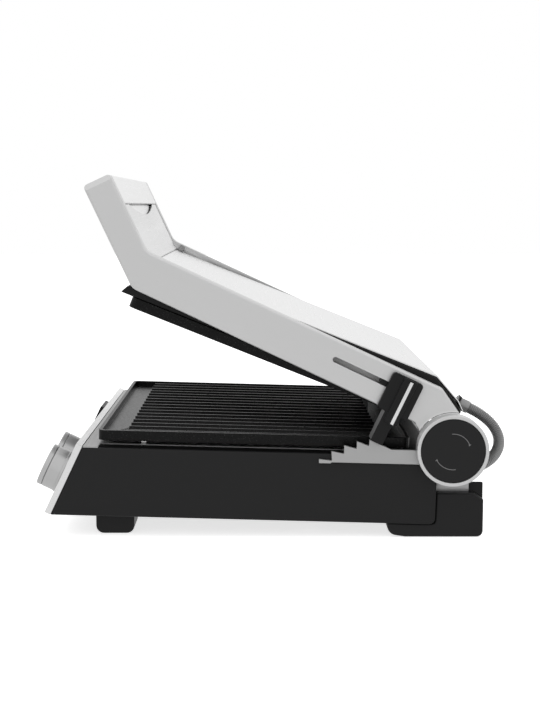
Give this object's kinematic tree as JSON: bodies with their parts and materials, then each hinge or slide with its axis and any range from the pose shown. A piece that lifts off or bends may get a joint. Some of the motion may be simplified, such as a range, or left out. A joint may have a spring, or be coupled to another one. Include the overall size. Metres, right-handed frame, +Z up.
{
  "type": "electric indoor grill with lid",
  "caption": "Countertop electric contact grill: ribbed plates, floating heated head on two die-cast arms, stepped height rack and clip, front control panel with knobs, side drip tray.",
  "frame": {"origin": "on the counter, under the middle of the grill's width and depth at rest", "axes": "+Z up; -Y towards the control panel (front); +X towards the side with the height rack (the user's right)"},
  "size_m": [0.356, 0.3967, 0.297],
  "materials": {
    "charcoal": "satin moulded plastic",
    "black": "matt moulded plastic",
    "rubber": "matt",
    "die_cast": "fine satin",
    "steel": "brushed",
    "rack_steel": "satin",
    "knob_metal": "spun satin",
    "plate_coating": "speckled non-stick coating",
    "heater_steel": "dull",
    "bright_steel": "bright",
    "window": "gloss",
    "board": "lacquered",
    "ceramic": "glazed",
    "conduit_metal": "satin"
  },
  "bodies": {
    "base": {"base_shell": "charcoal", "bottom_cover": "black", "control_panel": "steel", "top_deck": "steel", "display_bezel": "black", "display_window": "window", "control_board": "board", "rotary_controls": "heater_steel", "lower_plate": "plate_coating", "lower_plate_clips": "bright_steel", "lower_heater": "heater_steel", "lower_reflector": "steel", "lower_thermostat": "ceramic", "height_rack_right": "rack_steel", "hinge_bracket_left": "rack_steel", "hinge_pins": "bright_steel", "rear_foot_right": "charcoal", "rear_foot_left": "charcoal", "front_feet": "charcoal", "foot_pads": "rubber", "base_screws": "bright_steel", "conduit_gland": "rack_steel", "cord_inlet": "black", "conduit": "conduit_metal"},
    "lid": {"arm_right": "die_cast", "arm_left": "die_cast", "handle_bar": "steel", "handle_front": "steel", "handle_back": "steel", "head_stops": "rubber", "conduit_bracket": "rack_steel", "conduit_collar": "rack_steel", "button_spring_right": "bright_steel", "button_spring_left": "bright_steel"},
    "head": {"lid_cover": "steel", "head_housing": "black", "float_pins": "bright_steel", "upper_plate": "plate_coating", "upper_plate_clips": "bright_steel", "upper_heater": "heater_steel", "upper_reflector": "steel", "upper_thermostat": "ceramic"},
    "clip": {"height_clip": "black", "clip_slider": "black", "clip_stripe": "bright_steel"},
    "knob_right": {"knob_right": "knob_metal"},
    "knob_middle": {"knob_middle": "knob_metal"},
    "button_right": {"release_button_right": "charcoal"},
    "button_left": {"release_button_left": "charcoal"},
    "tray": {"drip_tray": "charcoal"}
  },
  "joints": [
    {"name": "lid_hinge", "type": "hinge", "parent": "base", "child": "lid", "pos_m": [0, 0.14519, 0.0754], "axis": [-1, 0, 0], "range_deg": [0, 153], "deforming": ["conduit"]},
    {"name": "head_float", "type": "hinge", "parent": "lid", "child": "head", "pos_m": [0, 0.00535, 0.1654], "axis": [1, 0, 0], "range_deg": [0, 8]},
    {"name": "clip_slide", "type": "slide", "parent": "lid", "child": "clip", "axis": [0, -0.9026, 0.4305], "range_m": [0, 0.0424]},
    {"name": "knob_right_turn", "type": "hinge", "parent": "base", "child": "knob_right", "pos_m": [0.14, -0.17493, 0.05085], "axis": [0, -0.9026, 0.4305], "continuous": true},
    {"name": "knob_middle_turn", "type": "hinge", "parent": "base", "child": "knob_middle", "pos_m": [0.079, -0.17493, 0.05085], "axis": [0, -0.9026, 0.4305], "continuous": true},
    {"name": "release_right_press", "type": "slide", "parent": "lid", "child": "button_right", "axis": [-1, 0, 0], "range_m": [0, 0.002], "stiffness_N_per_m": 1500, "springref_m": -0.001, "deforming": ["button_spring_right"]},
    {"name": "release_left_press", "type": "slide", "parent": "lid", "child": "button_left", "axis": [1, 0, 0], "range_m": [0, 0.002], "stiffness_N_per_m": 1500, "springref_m": -0.001, "deforming": ["button_spring_left"]},
    {"name": "drip_tray_slide", "type": "slide", "parent": "base", "child": "tray", "axis": [-1, 0, 0], "range_m": [0, 0.16]}
  ]
}
